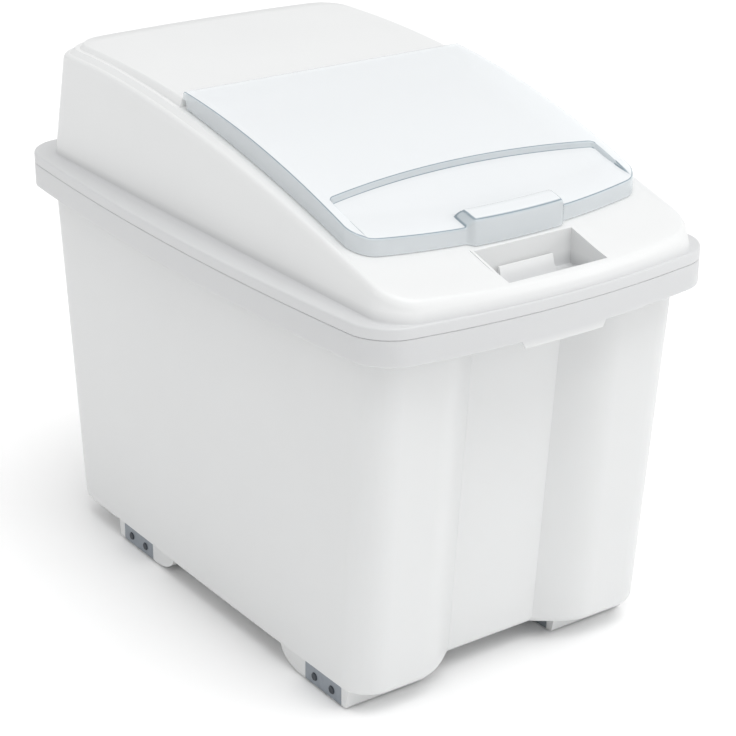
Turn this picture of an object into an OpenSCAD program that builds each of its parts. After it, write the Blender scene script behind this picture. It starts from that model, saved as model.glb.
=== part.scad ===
// Rice bin: a wheeled white tub, a translucent hood that lifts off, and a clear flip lid.
// Millimetres. +X is the right of the bin seen from the front, -Y the front and +Z up.
// The origin is on the floor, under the middle of the bin.

/* [Rim] */
// Width over the bowed sides of the rim
rim_w = 432; // [400:1:520]
// Length over the bowed ends of the rim
rim_l = 698; // [600:1:840]
// How far each side of the rim bows out
side_bow = 16; // [4:1:24]
// How far each end of the rim bows out
end_bow = 19.5; // [6:0.5:26]
// Corner radius of the rim
rim_corner_r = 34; // [26:1:44]
// Height of the rim's lower edge above the floor
rim_z = 390; // [320:1:460]
// Depth of the rim's turned-down skirt
rim_depth = 26; // [18:1:34]
// Thickness of the rim's skirt
skirt_t = 3; // [2.4:0.1:4]
// Width of the deeper grip lip in the middle of the front
grip_w = 96; // [60:1:130]
// How much lower the grip lip reaches
grip_drop = 7; // [3:1:12]

/* [Tub] */
// How far the tub's wall stands in from the rim at the corners of the sides
wall_in_side = 13; // [10:1:20]
// How far the tub's wall stands in from the rim at the corners of the ends
wall_in_end = 16.5; // [12:0.5:24]
// How much each side leans in from the rim to the base
side_draft = 4.5; // [2:0.5:12]
// How much each end leans in from the rim to the base
end_draft = 30; // [12:1:40]
// Wall thickness of the tub
wall = 3.2; // [2.6:0.1:4.5]
// Height of the tub's underside above the floor
base_z = 22; // [18:1:28]
// Corner radius of the tub
tub_corner_r = 34; // [28:1:40]
// Radius of the tub's bottom edge
base_edge_r = 9; // [5:1:12]
// Slight outward bow of the tub's sides
tub_side_bow = 2; // [1:0.5:5]

/* [Front channel] */
// Width of the channel's flat floor
channel_w = 108; // [80:1:120]
// Width of each curved flank
flank_w = 55; // [30:1:56]
// Depth of the channel
channel_depth = 28; // [14:1:34]

/* [Roller feet] */
// How far the feet's outer faces stand in from the tub's sides at the base
foot_in_side = 5.5; // [4:0.5:8]
// Width of each foot across the bin
foot_w = 94; // [80:1:104]
// Length of a roller bracket
bracket_l = 62; // [58:1:70]
// Middle of the front feet, back from the tub's front at the base
front_foot_in = 69; // [63:1:100]
// Middle of the rear feet, forward from the tub's back at the base
rear_foot_in = 133; // [80:1:150]
// Height of the feet's underside above the floor
foot_gap = 2; // [1:0.5:4]
// Length of the foot in front of or behind the bracket
foot_end = 9; // [6:1:12]
// Length of the sloping blend from a foot to the tub's underside
foot_blend = 40; // [20:1:44]
// Roller diameter
roller_d = 22.4; // [18:0.2:24]
// Distance between the two rollers of a foot
roller_pitch = 30; // [27:1:32]
// Axle pin diameter
axle_d = 6; // [5:0.5:8]
// Radial running clearance of a roller on its pin
axle_play = 0.06; // [0.03:0.01:0.1]
// Gap between a roller's end and the bracket's cheek
roller_side_gap = 0.8; // [0.4:0.1:1.5]
// Sheet thickness of the brackets
bracket_t = 2; // [1.5:0.5:2.5]
// Gap round a bracket in its foot
bracket_gap = 0.4; // [0.3:0.1:1]
// Diameter of the riveted axle heads
rivet_d = 9; // [8:0.5:10]
// Thickness of the riveted axle heads
rivet_h = 1.2; // [0.8:0.1:2]
// Thickness of the tub over a bracket
pad_t = 9; // [8:0.5:12]
// Shank diameter of the bracket screws
screw_d = 5; // [4:0.5:6]

/* [Hood] */
// Wall thickness of the hood
hood_t = 2.6; // [2:0.1:3.5]
// Height of the band that continues the rim
band_h = 11; // [8:0.5:16]
// Gap between the rim's top and the hood
seat_gap = 0.3; // [0.2:0.1:0.6]
// Depth of the lip that locates the hood in the tub's mouth
lip_h = 10; // [6:1:16]
// Gap between that lip and the tub's wall
lip_gap = 1.5; // [1:0.1:3]
// Ledge from the band to the hood's wall at the side corners
ledge_side = 14; // [10:1:20]
// Ledge from the band to the hood's back wall at its corners
ledge_back = 24.5; // [16:0.5:34]
// How much each side of the hood leans in up to its shoulder
hood_side_lean = 4; // [2:1:8]
// How much the back of the hood leans in up to its shoulder
hood_back_lean = 20; // [8:1:28]
// Height of the hood's crest above the floor, without its raised panel
crest_z = 543.5; // [500:0.5:620]
// Height of the hood's front edge above the rim's top
front_face_h = 25.5; // [20:0.5:34]
// Distance of the crest's front end from the rim's rear end
crest_back = 134; // [100:1:170]
// Rise of the raised panel behind the lid
panel_rise = 10; // [8:0.5:12]
// Drop of the raised panel from its crest to the lid
panel_fall = 9; // [6:0.5:10]
// Height of the coaming round the filling opening
coaming_h = 5; // [3:0.5:6]
// Width of the finger pocket in the hood's front
pocket_w = 116; // [90:1:130]

/* [Flip lid] */
// Width of the flip lid
lid_w = 338; // [300:1:344]
// How far the lid's front corners stand in from the corners of the rim's front
lid_in = 72.5; // [66:0.5:90]
// Length of the lid along its side
lid_side_l = 295; // [260:1:305]
// How far the lid's front bows out
lid_bow = 18; // [8:1:22]
// Corner radius at the lid's front
lid_corner_r = 22; // [14:1:30]
// Wall thickness of the lid
lid_t = 2.5; // [2:0.1:3]
// Greatest height of the lid over the hood's slope
lid_h = 24.5; // [22:0.5:28]
// How much lower the lid sits at its front end
lid_h_fall = 9.1; // [6:0.1:10]
// Depth of the crease across the lid
crease_drop = 5; // [2:0.5:6]
// Width of the finger grip
grip_hump_w = 118; // [80:1:124]
// Rise of the finger grip
grip_hump_h = 10; // [6:0.5:12]
// How far the finger grip stands forward
grip_hump_out = 5; // [2:0.5:7]
// Gap between the lid and the hood
lid_gap = 1; // [0.8:0.1:1.5]
// Hinge axis, forward of the lid's rear edge
hinge_in = 8; // [8:0.5:9]
// Hinge axis, below the lid's rear top
hinge_drop = 7; // [6.8:0.1:7.4]
// Diameter of the lid's moulded trunnions
trunnion_d = 5; // [4:0.5:5]
// Radial clearance of the trunnions in the hood's arms
trunnion_play = 0.06; // [0.03:0.01:0.1]

/* [Hidden] */
CORNERS = ["front_left", "front_right", "rear_left", "rear_right"];
$fn = 48;

// Half sizes of the rim between its corners, before the bow
rim_a = rim_w / 2 - side_bow;
rim_b = rim_l / 2 - end_bow;
rim_top = rim_z + rim_depth;
// Half sizes of the tub's wall at the rim and at the base
top_a = rim_a - wall_in_side;
top_b = rim_b - wall_in_end;
base_a = top_a - side_draft;
base_b = top_b - end_draft;
// Outer faces of the feet, and the lid's front corners and rear edge
feet_w = 2 * (base_a - foot_in_side);
lid_front = rim_b - lid_in;
lid_rear = lid_side_l - lid_front;
// Steps round each corner and points along half of the front
corner_steps = 6;
flank_steps = 5;
sides_y = [-0.75, -0.5, -0.25, 0, 0.25, 0.5, 0.75];

white = "whitesmoke";
steel = "slategray";

// Half of an outline, from the middle of the front round the right to the middle of the back.
// xs are the front's points from the middle out, deps how far each stands back in the channel,
// and ys are the points along the side.
function half_outline(a, front, back, r_front, r_back, side, bow_front, bow_back, xs, deps, ys) =
    let (
        mid = (back - front) / 2,
        b = (back + front) / 2,
        n = len(xs),
        raw = concat(
            [for (x = xs) [x, -front]],
            [for (k = [0 : corner_steps]) let (t = 90 * k / corner_steps)
                [a - r_front + r_front * sin(t), -(front - r_front) - r_front * cos(t)]],
            [for (y = ys) [a, y]],
            [for (k = [0 : corner_steps]) let (t = 90 * k / corner_steps)
                [a - r_back + r_back * cos(t), back - r_back + r_back * sin(t)]],
            [for (k = [n - 1 : -1 : 0]) [xs[k], back]]))
    [for (k = [0 : len(raw) - 1]) let (
            p = raw[k],
            u = p[0] / a,
            v = (p[1] - mid) / b,
            bow = v < 0 ? bow_front : bow_back,
            dep = k < n ? deps[k] : 0)
        [p[0] + side * u * (1 - v * v), p[1] + bow * v * (1 - u * u) + dep]];

// A whole outline from its right half
function mirrored(half) = concat(half, [for (k = [len(half) - 2 : -1 : 1]) [-half[k][0], half[k][1]]]);

function at_z(outline, z) = [for (p = outline) [p[0], p[1], z]];

function no_depth(xs) = [for (x = xs) 0];

// Points along half of the channel, and how deep each stands, for a wall that is grow thicker
function channel_xs(grow) = concat(
    [0, channel_w / 4],
    [for (k = [0 : flank_steps]) channel_w / 2 + grow + flank_w * k / flank_steps]);
function channel_deps(dep) = concat(
    [dep, dep],
    [for (k = [0 : flank_steps]) dep * (1 - sin(90 * k / flank_steps))]);

// Points along half of the rim's front, with the ends of the grip lip
grip_a = grip_w / 2;
rim_xs = [0, grip_a / 2, grip_a - 2, grip_a + 2, grip_a + 20, grip_a + 42, grip_a + 62, grip_a + 80];

function rim_ring(inset, z, drop = 0) = let (
        out = mirrored(half_outline(rim_a - inset, rim_b - inset, rim_b - inset, rim_corner_r - inset,
            rim_corner_r - inset, side_bow, end_bow, end_bow, rim_xs, no_depth(rim_xs),
            [for (f = sides_y) f * (rim_b - rim_corner_r)])))
    [for (p = out) [p[0], p[1], z - (p[1] < 0 && abs(p[0]) < grip_a ? drop : 0)]];

// A ring of the tub's wall: how far up from base to rim (0 to 1), the inset of the wall's
// face, and the height
function wall_ring(up, inset, z, bevel = 0) = let (
        a = base_a + (top_a - base_a) * up - inset - bevel,
        b = base_b + (top_b - base_b) * up - inset - bevel,
        r = tub_corner_r - inset - bevel / 2)
    at_z(mirrored(half_outline(a, b, b, r, r, tub_side_bow, 0, 0, channel_xs(inset),
        channel_deps(channel_depth), [for (f = sides_y) f * (b - r)])), z);

function along(z) = (z - base_z) / (rim_top - base_z);

// Joins rings of points into one closed solid. With ends, the first ring is the underside and
// the last one a floor; without, the last ring joins on to the first.
module loft(rings, ends) {
    n = len(rings[0]);
    m = len(rings);
    half = n / 2;
    points = [for (g = rings) each g];
    last = (m - 1) * n;
    walls = [for (j = [0 : ends ? m - 2 : m - 1]) for (i = [0 : n - 1]) let (
            k = ((j + 1) % m) * n,
            h = (i + 1) % n)
        [j * n + i, k + i, k + h, j * n + h]];
    // Each end is filled by strips from the front's points to the back's
    strips = [for (k = [0 : half / 2 - 1]) k + 1 == half / 2
        ? [k, k + 1, half - k]
        : [k, k + 1, half - k - 1, half - k]];
    left = [for (s = strips) [for (k = [len(s) - 1 : -1 : 0]) (n - s[k]) % n]];
    under = concat(strips, left);
    caps = ends
        ? concat(under, [for (s = under) [for (k = [len(s) - 1 : -1 : 0]) last + s[k]]])
        : [];
    polyhedron(points, concat(walls, caps));
}

// TUB

floor_z = base_z + wall;
edge_steps = 3;

function tub_rings() = concat(
    // Rounded bottom edge
    [for (k = [0 : edge_steps]) let (t = 90 * k / edge_steps, z = base_z + base_edge_r * (1 - cos(t)))
        wall_ring(along(z), 0, z, base_edge_r * (1 - sin(t)))],
    // Wall, underside of the flange and turned-down skirt
    [wall_ring(along(rim_top - skirt_t), 0, rim_top - skirt_t),
     rim_ring(skirt_t, rim_top - skirt_t),
     rim_ring(skirt_t, rim_z, grip_drop),
     rim_ring(0, rim_z, grip_drop),
     rim_ring(0, rim_top - 1.5),
     rim_ring(1.5, rim_top)],
    // Mouth and the inside
    [wall_ring(1, wall, rim_top),
     wall_ring(along(floor_z + base_edge_r), wall, floor_z + base_edge_r)],
    [for (k = [edge_steps - 1 : -1 : 0]) let (t = 90 * k / edge_steps, z = floor_z + base_edge_r * (1 - cos(t)))
        wall_ring(along(z), wall, z, base_edge_r * (1 - sin(t)))]);

// Places of the feet, by corner number: x sign, y sign and the bracket's middle
foot_signs = [[-1, -1], [1, -1], [-1, 1], [1, 1]];
function foot_x(c) = foot_signs[c][0] * (feet_w - foot_w) / 2;
function foot_y(c) = foot_signs[c][1] < 0 ? front_foot_in - base_b : base_b - rear_foot_in;

roller_r = roller_d / 2;
bracket_top = roller_d + 3 + bracket_t;
slot_top = bracket_top + bracket_gap;
foot_bottom_l = bracket_l + 2 * (bracket_gap + foot_end);

// Side view of a foot, its blend towards the bin's middle on the +X side of the sketch
module foot_profile() {
    steps = 5;
    half = foot_bottom_l / 2;
    top = base_z + wall / 2;
    blend = [for (k = [0 : steps]) let (t = 90 * k / steps)
        [half + foot_blend * sin(t) * 0.9, foot_gap + (top - foot_gap) * (1 - cos(t))]];
    polygon(concat([[-half, foot_gap + 3], [-half + 3, foot_gap]], blend,
        [[half + foot_blend, top], [-half - 3, top]]));
}

// Puts a sketch of the side view at a corner, with the blend towards the bin's middle
module at_foot(c, width) {
    translate([foot_x(c), foot_y(c), 0])
        rotate([90, 0, foot_signs[c][1] < 0 ? 90 : -90])
            translate([0, 0, -width / 2])
                linear_extrude(width) children();
}

module bracket_slot(c) {
    length = bracket_l + 2 * bracket_gap;
    translate([foot_x(c) - foot_w / 2 - 1, foot_y(c) - length / 2, -1])
        cube([foot_w + 2, length, slot_top + 1]);
}

// Recess that lifts the edge of the tub's wall along the outer side of a foot
module edge_recess(c) {
    half = foot_bottom_l / 2;
    depth = 12;
    side = foot_signs[c][0];
    intersection() {
        at_foot(c, foot_w + 2 * depth)
            polygon([[-half - 2, -1], [-half - 2, base_z], [-half + 4, slot_top], [half + 3, slot_top],
                [half + 16, base_z - 3], [half + 16, -1]]);
        translate([side > 0 ? feet_w / 2 : -feet_w / 2 - depth, -rim_b, -1])
            cube([depth, 2 * rim_b, slot_top + 2]);
    }
}

// Pad inside the tub that thickens its floor over a foot, and joins its wall over the recess
module pad(c) {
    pad_block(c, 11, 2, floor_z - 0.8);
    pad_block(c, 11, 4, slot_top + 1);
}

module pad_block(c, in, out, low) {
    length = foot_bottom_l + 2 * wall;
    side = foot_signs[c][0];
    translate([foot_x(c) - foot_w / 2 - (side > 0 ? in : out), foot_y(c) - length / 2, low])
        cube([foot_w + in + out, length, slot_top + pad_t - low]);
}

screw_pitch = 56;
screw_l = 8;

module screw_places(c) {
    for (s = [-1, 1])
        translate([foot_x(c) + s * screw_pitch / 2, foot_y(c), bracket_top - bracket_t])
            children();
}

module tub() {
    color(white)
        difference() {
            union() {
                loft(tub_rings(), true);
                for (c = [0 : 3]) {
                    at_foot(c, foot_w) foot_profile();
                    pad(c);
                }
            }
            for (c = [0 : 3]) {
                bracket_slot(c);
                edge_recess(c);
                screw_places(c) cylinder(d = screw_d, h = screw_l);
            }
        }
}

// ROLLER FEET

cheek_bottom = foot_gap;
cheek_inner = foot_w / 2 - bracket_t;

module axle_places(c) {
    for (s = [0, 1]) axle_place(c, s) children();
}

module axle_place(c, s) {
    translate([foot_x(c), foot_y(c) + (s - 0.5) * roller_pitch, roller_r])
        rotate([0, 90, 0]) children();
}

module roller_bracket(c) {
    color(steel)
        difference() {
            translate([foot_x(c) - foot_w / 2, foot_y(c) - bracket_l / 2, cheek_bottom])
                cube([foot_w, bracket_l, bracket_top - cheek_bottom]);
            translate([foot_x(c) - cheek_inner, foot_y(c) - bracket_l, 0])
                cube([2 * cheek_inner, 2 * bracket_l, bracket_top - bracket_t]);
            axle_places(c) cylinder(d = axle_d, h = foot_w + 2, center = true);
            screw_places(c) translate([0, 0, -1]) cylinder(d = screw_d + 0.4, h = bracket_t + 2);
        }
}

// A nylon roller with shallow grooves near its ends and a relieved middle
module roller(c, s) {
    length = 2 * (cheek_inner - roller_side_gap);
    r = roller_r;
    groove = 1;
    bore = axle_d / 2 + axle_play;
    h = length / 2;
    color("gainsboro")
        axle_place(c, s)
            rotate_extrude()
                polygon([[bore, -h], [r - 1.5, -h], [r, -h + 1.5], [r, -h + 12], [r - groove, -h + 13],
                    [r - groove, -h + 16], [r, -h + 17], [r, h - 17], [r - groove, h - 16],
                    [r - groove, h - 13], [r, h - 12], [r, h - 1.5], [r - 1.5, h], [bore, h]]);
}

module axle_pin(c, s) {
    h = foot_w / 2;
    head = rivet_d / 2;
    color(steel)
        axle_place(c, s)
            rotate_extrude()
                polygon([[0, -h - rivet_h], [head - 0.8, -h - rivet_h], [head, -h - 0.3], [head, -h],
                    [axle_d / 2, -h], [axle_d / 2, h], [head, h], [head, h + 0.3], [head - 0.8, h + rivet_h], [0, h + rivet_h]]);
}

module bracket_screws(c) {
    head_h = 2.2;
    color(steel)
        screw_places(c) {
            cylinder(d = screw_d, h = screw_l);
            translate([0, 0, -head_h])
                difference() {
                    cylinder(d1 = 2 * screw_d - 2, d2 = 2 * screw_d, h = head_h);
                    translate([0, 0, -0.1]) cylinder(d = 2.6, h = 1.4, $fn = 6);
                }
        }
}

// HOOD

hood_seat = rim_top + seat_gap;
band_top = hood_seat + band_h;
crest_y = rim_l / 2 - crest_back;
front_z = rim_top + front_face_h;
// Line where the raised panel ends, just behind the lid
panel_y = lid_rear + 3;

// Height of the hood's slope at the shoulder, which falls ever faster towards the front
function slope_z(y) = let (back = max(0, crest_y - y))
    crest_z - (crest_z - front_z) * pow(back / (crest_y + rim_l / 2), 1.75);

// Height of the raised panel
function panel_z(y) = let (back = max(0, crest_y - y))
    crest_z + panel_rise - panel_fall * pow(back / (crest_y - panel_y), 2);

// How far the strip along the lid stands over the shoulder: 6 at the lid's rear, less in front
function strip_rise(y) = max(-1, min(6, 6 + (y - lid_rear + 10) * 0.0245));
function strip_z(y) = slope_z(y) + strip_rise(y) - lid_gap;

// Half width of the raised panel and of the strip's inner edge
panel_a = lid_w / 2 - lid_t - lid_gap;
strip_in = rim_a - ledge_side - lid_w / 2;

// Points along half of the front and along the side, which end short of the panel's corners
hood_r = 30;
hood_flat = panel_a - hood_t - hood_r - 1.9;
hood_xs = [for (f = [0, 27, 55, 75, 95, 110, 122, 131]) f * hood_flat / 131];
hood_back = rim_b - ledge_back - hood_back_lean - hood_t - hood_r;
hood_ys = [57 - lid_front, 157 - lid_front, lid_rear - 38, panel_y - 4, panel_y + 1,
    hood_back - 142.4, hood_back - 62.4];

// A ring of the hood's dome: inset from the foot of its wall, how far its front and its back
// stand in from there
function dome_outline(inset, front_in, back_in) = mirrored(half_outline(
    rim_a - ledge_side - inset, rim_b - front_in, rim_b - ledge_back - back_in,
    hood_r, hood_r, tub_side_bow, end_bow, 8, hood_xs, no_depth(hood_xs), hood_ys));

function slope_ring(outline, rise) = [for (p = outline) [p[0], p[1], slope_z(p[1]) + rise]];
function strip_ring(outline, rise) = [for (p = outline) [p[0], p[1], strip_z(p[1]) + rise]];

function panel_outline(grow) = dome_outline(rim_a - ledge_side - panel_a + grow, lid_in + 6 + grow,
    hood_back_lean + 16 + grow);

// The raised panel's surface behind the lid, and the slope in front of it
function panel_ring(outline, grow, rise) = [for (p = outline)
    [p[0], p[1], (p[1] > panel_y + grow - 1 ? panel_z(p[1]) : strip_z(p[1])) + rise]];

// The panel's points drawn in to the line behind the lid
function drawn_in(outline, grow) = let (n = len(outline)) [for (k = [0 : n - 1]) let (
        p = outline[k],
        m = k <= n / 2 ? k : n - k,
        first = len(hood_xs) + corner_steps + 1 + 4,
        steps = 3 + corner_steps + 1,
        wide = panel_a - 2 - grow,
        x = m - first < steps ? wide - (wide - hood_flat) * (m - first) / steps : abs(p[0]))
    p[1] > panel_y + grow - 1 ? [sign(p[0]) * x, panel_y + grow] : [p[0] * (1 - 2 / panel_a), p[1]]];

function between(one, two, t) = [for (k = [0 : len(one) - 1]) one[k] * (1 - t) + two[k] * t];

// The filling opening's outline
mouth_a = panel_a - 16;
mouth_rear = lid_rear - 26;
mouth_front = lid_front - 22;
mouth_r = 24;
function mouth_ring(grow, rise) = slope_ring(mirrored(half_outline(
    mouth_a + grow, mouth_front + grow, mouth_rear + grow, mouth_r, mouth_r, 0.5, lid_bow * 0.7, 0.5,
    hood_xs / hood_flat * (mouth_a - mouth_r - 4), no_depth(hood_xs),
    [for (f = sides_y)
        (mouth_rear - mouth_front) / 2 + f * ((mouth_rear + mouth_front) / 2 - mouth_r)])), rise);

trough = 1;

// The outside of the hood, from its seat on the rim up to the filling opening
function hood_outside() = let (
        shoulder = dome_outline(hood_side_lean, 2.5, hood_back_lean),
        edge = dome_outline(hood_side_lean + 1.5, 4, hood_back_lean + 3),
        brow = dome_outline(hood_side_lean + 4.5, 8, hood_back_lean + 8),
        strip = dome_outline(strip_in, lid_in, hood_back_lean + 14),
        panel = panel_outline(0),
        line = drawn_in(panel, 0))
    [at_z(rim_outline(0), hood_seat),
     at_z(rim_outline(0), band_top - 1.5),
     at_z(rim_outline(1.5), band_top),
     at_z(dome_outline(0, 1.8, 0), band_top),
     slope_ring(shoulder, -9),
     slope_ring(edge, -3),
     slope_ring(brow, 0),
     strip_ring(between(brow, strip, 0.5), 0),
     strip_ring(strip, 0),
     panel_ring(panel, 0, 0),
     panel_ring(between(panel, line, 0.3), 0, 0),
     panel_ring(between(panel, line, 0.65), 0, 0),
     panel_ring(line, 0, 0),
     slope_ring([for (p = line) [p[0], min(p[1], panel_y - 0.6)]], trough),
     mouth_ring(hood_t, trough),
     mouth_ring(hood_t, trough + coaming_h),
     mouth_ring(0, trough + coaming_h)];

function rim_outline(inset) = mirrored(half_outline(rim_a - inset, rim_b - inset, rim_b - inset,
    rim_corner_r - inset, rim_corner_r - inset, side_bow, end_bow, end_bow, hood_xs, no_depth(hood_xs),
    [for (f = sides_y) f * (rim_b - rim_corner_r)]));

// The lip inside the tub's mouth, in from the tub's wall by gap
function lip_outline(gap) = mirrored(half_outline(top_a - wall - gap, top_b - wall - gap, top_b - wall - gap,
    tub_corner_r - wall - gap / 2, tub_corner_r - wall - gap / 2, tub_side_bow, 0, 0, channel_xs(wall + gap),
    channel_deps(channel_depth), [for (f = sides_y) f * (top_b - tub_corner_r)]));

// The inside of the hood, from the filling opening down to its lip
function hood_inside() = let (
        t = hood_t,
        shoulder = dome_outline(hood_side_lean + t, 2.5 + t, hood_back_lean + t),
        brow = dome_outline(hood_side_lean + 4.5 + t / 2, 8 + t / 2, hood_back_lean + 8 + t / 2),
        panel = panel_outline(t),
        line = drawn_in(panel, t))
    [mouth_ring(0, trough - t),
     [for (p = line) [p[0], p[1], slope_z(min(p[1], panel_y)) + trough - t]],
     panel_ring(line, t, -t),
     panel_ring(between(panel, line, 0.5), t, -t),
     panel_ring(panel, t, -t),
     strip_ring(between(brow, panel, 0.5), -t),
     slope_ring(brow, -t),
     slope_ring(shoulder, -9 - t),
     at_z(dome_outline(t, 1.8 + t, t), hood_seat + t),
     at_z(lip_outline(lip_gap + t), hood_seat + t),
     at_z(lip_outline(lip_gap + t), hood_seat - lip_h),
     at_z(lip_outline(lip_gap), hood_seat - lip_h),
     at_z(lip_outline(lip_gap), hood_seat)];

// Finger pocket under the lid's grip: the side view of its hollow, grown outwards by grow
pocket_back = lid_front + lid_bow + 9;
pocket_front = rim_l / 2 - 13;
pocket_low = hood_seat + hood_t + 5;

module pocket_profile(grow, top) {
    polygon([[-pocket_back + grow, top], [-pocket_back + grow, pocket_low + 4],
        [-pocket_back - 4, pocket_low - grow], [-pocket_front + 14, pocket_low + 7 - grow],
        [-pocket_front - grow, pocket_low + 14 - grow], [-pocket_front - grow, top]]);
}

module across(width) {
    rotate([90, 0, 90]) translate([0, 0, -width / 2]) linear_extrude(width) children();
}

module pocket_shell() {
    intersection() {
        across(pocket_w + 2 * hood_t) pocket_profile(hood_t, crest_z);
        across(pocket_w + 2 * hood_t)
            polygon([
                for (y = [-pocket_front - hood_t, 16 - pocket_front, -pocket_back - 12, hood_t - pocket_back])
                    [y, slope_z(y) - 1.2],
                [hood_t - pocket_back, hood_seat],
                [-pocket_front - hood_t, hood_seat]]);
    }
}

// Moulded tongue that stands in the pocket just in front of its back wall
module pocket_tongue() {
    width = 64;
    across(width)
        polygon([[-pocket_back - 3, pocket_low - 1], [-pocket_back - 3, pocket_low + 17],
            [-pocket_back - 5.6, pocket_low + 17], [-pocket_back - 14, pocket_low + 1]]);
}

// Height of the lid's arched top, highest over the slope at arch_y
arch_y = lid_rear - 98;
arch_reach = 202;
function arch_z(y) = slope_z(y) + lid_h - lid_h_fall * pow((y - arch_y) / arch_reach, 2);

// Arms that carry the lid's trunnions. They reach back over the sweep of the lid's rear wall.
hinge_y = lid_rear - hinge_in;
hinge_z = arch_z(hinge_y) - hinge_drop;
arm_r = 4;
arm_t = 4;
arm_x = lid_w / 2 - lid_t - 4.4 - arm_t;
arm_foot_l = 9;
arm_reach = 11;

module hinge_arm() {
    stem = hinge_y - arm_reach;
    foot = slope_z(stem) - 1;
    translate([arm_x, 0, 0])
        rotate([90, 0, 90])
            linear_extrude(arm_t)
                polygon([[stem - arm_foot_l, foot], [stem, foot], [stem, hinge_z - arm_r],
                    [hinge_y - 6, hinge_z - 3], [hinge_y, hinge_z - 3], [hinge_y, hinge_z + arm_r],
                    [stem - arm_foot_l + 4, hinge_z + 1.5], [stem - arm_foot_l, hinge_z - arm_r]]);
    translate([arm_x, hinge_y, hinge_z]) rotate([0, 90, 0]) cylinder(r = arm_r, h = arm_t);
}

module hood() {
    color("white", 0.85)
        difference() {
            union() {
                difference() {
                    union() {
                        loft(concat(hood_outside(), hood_inside()), false);
                        pocket_shell();
                    }
                    across(pocket_w) pocket_profile(0, crest_z);
                }
                pocket_tongue();
                hinge_arm();
                mirror([1, 0, 0]) hinge_arm();
            }
            translate([-lid_w, hinge_y, hinge_z])
                rotate([0, 90, 0]) cylinder(d = trunnion_d + 2 * trunnion_play, h = 2 * lid_w);
        }
}

// FLIP LID

lid_a = lid_w / 2;
hump_a = grip_hump_w / 2;
crease_a = lid_a - 12;
hump_ramp = 4;

// Front edge, crease and rear edge of the lid at a distance x from its middle
function lid_front_y(x, inset) = let (
        a = lid_a - inset,
        r = lid_corner_r - inset,
        over = max(0, abs(x) - (a - r)),
        hump = max(0, min(1, (hump_a - inset - abs(x)) / hump_ramp)))
    inset - lid_front - lid_bow * (1 - pow(x / lid_a, 2)) + r - sqrt(max(0, r * r - over * over))
        - grip_hump_out * hump;
function crease_y(x) = 57 - lid_front + 18 * (1 - pow(x / lid_a, 2));

// 1 inside the sunken front panel, and 0 on the lid's side edges
function panel_share(x) = max(0, min(1, (crease_a + 1 - abs(x)) / 4));
function hump_share(x) = max(0, min(1, (hump_a - abs(x)) / hump_ramp));

// Columns of the lid's grid from its middle out
lid_cols = concat(
    [0, 25, hump_a - hump_ramp, hump_a - hump_ramp / 2],
    [for (f = [0, 22, 48, 70, 95]) hump_a + (crease_a - 3 - hump_a) * f / 95],
    [crease_a + 1, lid_a - 6, lid_a - 3, lid_a - 1, lid_a]);
function lid_xs(inset) = let (out = [for (x = lid_cols)
        x > crease_a + 2 ? x - inset * (x - crease_a) / (lid_a - crease_a) : x])
    concat([for (i = [len(out) - 1 : -1 : 1]) -out[i]], out);

// Rows from the front edge to the crease, as shares of that distance, with the lid's height
front_rows = [0, 0.02, 0.06, 0.16, 0.22, 0.3, 0.55, 0.8, 0.965];
// Rows from the crease to the rear edge
rear_rows = [0, 0.012, 0.03, 0.12, 0.24, 0.38, 0.52, 0.66, 0.8, 0.9, 0.955, 0.98, 1];

function lid_point(x, row, inset) = let (
        front = lid_front_y(x, inset),
        crease = crease_y(x),
        rear = lid_rear - inset,
        ahead = row < len(front_rows),
        share = ahead ? front_rows[row] : rear_rows[row - len(front_rows)],
        y = ahead ? front + (crease - front) * share : crease + (rear - crease) * share,
        deep = ahead ? share : row == len(front_rows) ? 0.5 : 0,
        sunk = crease_drop * panel_share(x) * deep,
        hump = ahead ? grip_hump_h * hump_share(x) * max(0, min(1, (0.3 - share) / 0.08)) : 0,
        edge = share == 0 && ahead || share == 1 && !ahead || abs(x) > lid_a - inset - 0.5 ? 1.6 : 0,
        near_edge = row == 1 || abs(x) > lid_a - inset - 1.5 ? 0.4 : 0)
    [x, y, arch_z(y) - sunk + hump - max(edge, near_edge) - inset];

// Lower edge of the skirts. At the rear it ends by the hinge axis, which lets the lid turn past
// the hood's arms.
function skirt_z(y) = y > hinge_y + 2 ? hinge_z - 1
    : y > hinge_y - 9 ? hinge_z - 10 : slope_z(y) + strip_rise(y);

module flip_lid_shell() {
    xs_out = lid_xs(0);
    xs_in = lid_xs(lid_t);
    n = len(xs_out);
    m = len(front_rows) + len(rear_rows);
    outer = [for (j = [0 : m - 1]) for (i = [0 : n - 1]) lid_point(xs_out[i], j, 0)];
    inner = [for (j = [0 : m - 1]) for (i = [0 : n - 1]) lid_point(xs_in[i], j, lid_t)];
    // Indices of the grid's border, anticlockwise from the front left
    border = concat(
        [for (i = [0 : n - 1]) i],
        [for (j = [1 : m - 1]) j * n + n - 1],
        [for (i = [n - 2 : -1 : 0]) (m - 1) * n + i],
        [for (j = [m - 2 : -1 : 1]) j * n]);
    b = len(border);
    low_out = [for (k = border) let (p = outer[k]) [p[0], p[1], skirt_z(p[1])]];
    low_in = [for (k = border) let (p = inner[k]) [p[0], p[1], skirt_z(p[1])]];
    o = n * m;
    points = concat(outer, inner, low_out, low_in);
    top = [for (j = [0 : m - 2]) for (i = [0 : n - 2])
        [j * n + i, (j + 1) * n + i, (j + 1) * n + i + 1, j * n + i + 1]];
    under = [for (f = top) [for (k = [3 : -1 : 0]) o + f[k]]];
    rims = [for (k = [0 : b - 1]) let (h = (k + 1) % b) each [
        [border[k], border[h], 2 * o + h, 2 * o + k],
        [2 * o + k, 2 * o + h, 2 * o + b + h, 2 * o + b + k],
        [2 * o + b + k, 2 * o + b + h, o + border[h], o + border[k]]]];
    polyhedron(points, concat(top, under, rims));
}

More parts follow.
